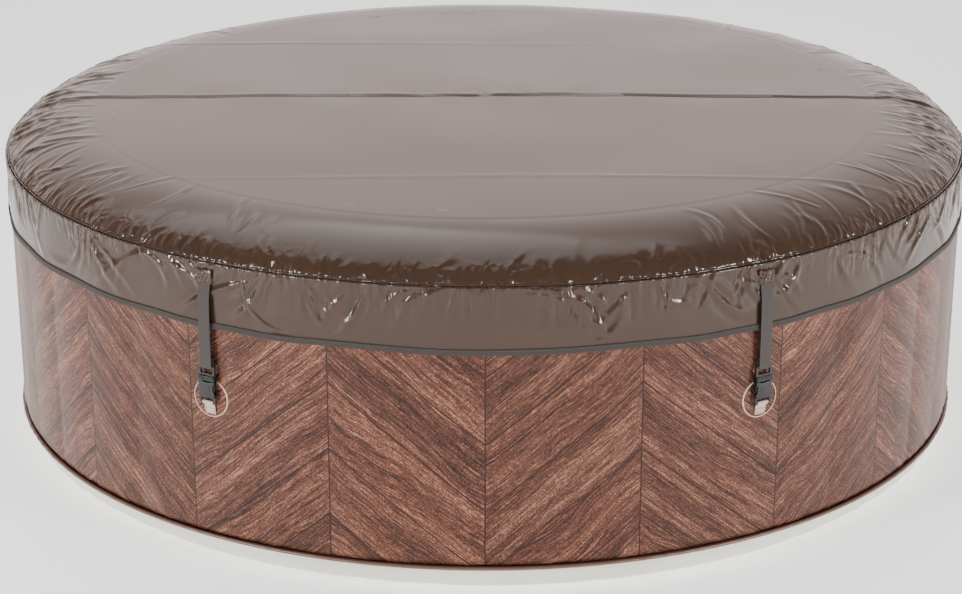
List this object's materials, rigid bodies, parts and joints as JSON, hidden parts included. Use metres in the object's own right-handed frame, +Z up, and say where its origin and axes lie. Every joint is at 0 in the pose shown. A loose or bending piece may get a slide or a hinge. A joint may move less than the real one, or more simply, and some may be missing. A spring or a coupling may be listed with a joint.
{
  "type": "inflatable hot tub",
  "caption": "Round inflatable hot tub with a wood-look printed wall, a padded vinyl cover strapped down by side-release buckles, and a built-in pump, heater and bubble unit.",
  "frame": {"origin": "middle of the base on the ground", "axes": "+Z up out of the pool, -Y towards the side seen first, halfway between two straps; the built-in unit is at +Y"},
  "size_m": [2.0672, 2.0506, 0.6834],
  "materials": {
    "printed_wall": "printed vinyl sheet, soft gloss",
    "cover_vinyl": "grey-brown vinyl sheet, soft gloss",
    "edge_binding": "woven polyester binding tape",
    "base_vinyl": "pale vinyl sheet, satin",
    "pool_vinyl": "light grey vinyl sheet, soft gloss",
    "thin_vinyl": "thin grey vinyl film",
    "webbing": "woven polypropylene webbing",
    "buckle_plastic": "moulded black acetal",
    "unit_plastic": "moulded dark grey plastic, fine grain",
    "trim_plastic": "moulded pale grey plastic",
    "filter_paper": "pleated white filter cloth",
    "heater_steel": "drawn stainless steel tube",
    "circuit_board": "green lacquered board"
  },
  "bodies": {
    "tub": {"base_sheet": "base_vinyl", "base_side": "base_vinyl", "base_weld_lip": "printed_wall", "outer_wall_skin": "printed_wall", "rim_skin": "cover_vinyl", "inner_wall_skin": "pool_vinyl", "floor_sheet": "pool_vinyl", "wall_baffles": "thin_vinyl", "bubble_channel": "pool_vinyl", "air_valve_body": "trim_plastic", "drain_body": "trim_plastic", "patch_1": "printed_wall", "patch_2": "printed_wall", "patch_3": "printed_wall", "patch_4": "printed_wall", "patch_5": "printed_wall", "patch_6": "printed_wall", "buckle_socket_1": "buckle_plastic", "buckle_socket_2": "buckle_plastic", "buckle_socket_3": "buckle_plastic", "buckle_socket_4": "buckle_plastic", "buckle_socket_5": "buckle_plastic", "buckle_socket_6": "buckle_plastic", "unit_case": "unit_plastic", "unit_lid": "unit_plastic", "pump_body": "buckle_plastic", "blower_body": "buckle_plastic", "heater_tube": "heater_steel", "circuit_board": "circuit_board", "filter_cartridge": "filter_paper", "return_nozzle": "trim_plastic"},
    "cover": {"cover_top_front": "cover_vinyl", "cover_top_rear": "cover_vinyl", "cover_seam_tape": "edge_binding", "cover_skirt": "cover_vinyl", "cover_welt": "cover_vinyl", "cover_hem": "edge_binding", "cover_lining": "thin_vinyl", "cover_bladder": "thin_vinyl", "bladder_valve": "trim_plastic", "strap_1": "webbing", "strap_2": "webbing", "strap_3": "webbing", "strap_4": "webbing", "strap_5": "webbing", "strap_6": "webbing"},
    "prong_1": {"buckle_prong_1": "buckle_plastic"},
    "prong_2": {"buckle_prong_2": "buckle_plastic"},
    "prong_3": {"buckle_prong_3": "buckle_plastic"},
    "prong_4": {"buckle_prong_4": "buckle_plastic"},
    "prong_5": {"buckle_prong_5": "buckle_plastic"},
    "prong_6": {"buckle_prong_6": "buckle_plastic"},
    "air_valve_cap_body": {"air_valve_cap": "buckle_plastic"},
    "drain_cap_body": {"drain_cap": "buckle_plastic"},
    "button_1_body": {"button_1": "trim_plastic"},
    "button_2_body": {"button_2": "trim_plastic"},
    "button_3_body": {"button_3": "trim_plastic"},
    "pump_rotor": {"pump_impeller": "trim_plastic"},
    "blower_rotor": {"blower_fan": "trim_plastic"},
    "filter_cap_body": {"filter_cap": "trim_plastic"}
  },
  "joints": [
    {"name": "cover_lift", "type": "slide", "parent": "tub", "child": "cover", "axis": [0, 0, 1], "range_m": [0, 0.9]},
    {"name": "buckle_1_release", "type": "slide", "parent": "cover", "child": "prong_1", "axis": [0, 0, 1], "range_m": [0, 0.035], "deforming": ["strap_1"]},
    {"name": "buckle_2_release", "type": "slide", "parent": "cover", "child": "prong_2", "axis": [0, 0, 1], "range_m": [0, 0.035], "deforming": ["strap_2"]},
    {"name": "buckle_3_release", "type": "slide", "parent": "cover", "child": "prong_3", "axis": [0, 0, 1], "range_m": [0, 0.035], "deforming": ["strap_3"]},
    {"name": "buckle_4_release", "type": "slide", "parent": "cover", "child": "prong_4", "axis": [0, 0, 1], "range_m": [0, 0.035], "deforming": ["strap_4"]},
    {"name": "buckle_5_release", "type": "slide", "parent": "cover", "child": "prong_5", "axis": [0, 0, 1], "range_m": [0, 0.035], "deforming": ["strap_5"]},
    {"name": "buckle_6_release", "type": "slide", "parent": "cover", "child": "prong_6", "axis": [0, 0, 1], "range_m": [0, 0.035], "deforming": ["strap_6"]},
    {"name": "air_valve_cap_turn", "type": "hinge", "parent": "tub", "child": "air_valve_cap_body", "pos_m": [0.26343, 0.98313, 0.4], "axis": [0.2588, 0.9659, 0], "range_deg": [0, 90]},
    {"name": "drain_cap_turn", "type": "hinge", "parent": "tub", "child": "drain_cap_body", "pos_m": [-0.26343, 0.98313, 0.12], "axis": [-0.2588, 0.9659, 0], "range_deg": [0, 360]},
    {"name": "button_1_press", "type": "slide", "parent": "tub", "child": "button_1_body", "axis": [0, 0, -1], "range_m": [0, 0.0015], "stiffness_N_per_m": 500},
    {"name": "button_2_press", "type": "slide", "parent": "tub", "child": "button_2_body", "axis": [0, 0, -1], "range_m": [0, 0.0015], "stiffness_N_per_m": 500},
    {"name": "button_3_press", "type": "slide", "parent": "tub", "child": "button_3_body", "axis": [0, 0, -1], "range_m": [0, 0.0015], "stiffness_N_per_m": 500},
    {"name": "pump_spin", "type": "hinge", "parent": "tub", "child": "pump_rotor", "pos_m": [-0.07, 0.68958, 0.04], "axis": [0, 0, 1], "continuous": true},
    {"name": "blower_spin", "type": "hinge", "parent": "tub", "child": "blower_rotor", "pos_m": [-0.08, 0.68958, 0.33], "axis": [0, 0, 1], "continuous": true},
    {"name": "filter_cap_turn", "type": "hinge", "parent": "tub", "child": "filter_cap_body", "pos_m": [-0.07, 0.6, 0.2], "axis": [0, -1, 0], "range_deg": [0, 60]}
  ]
}
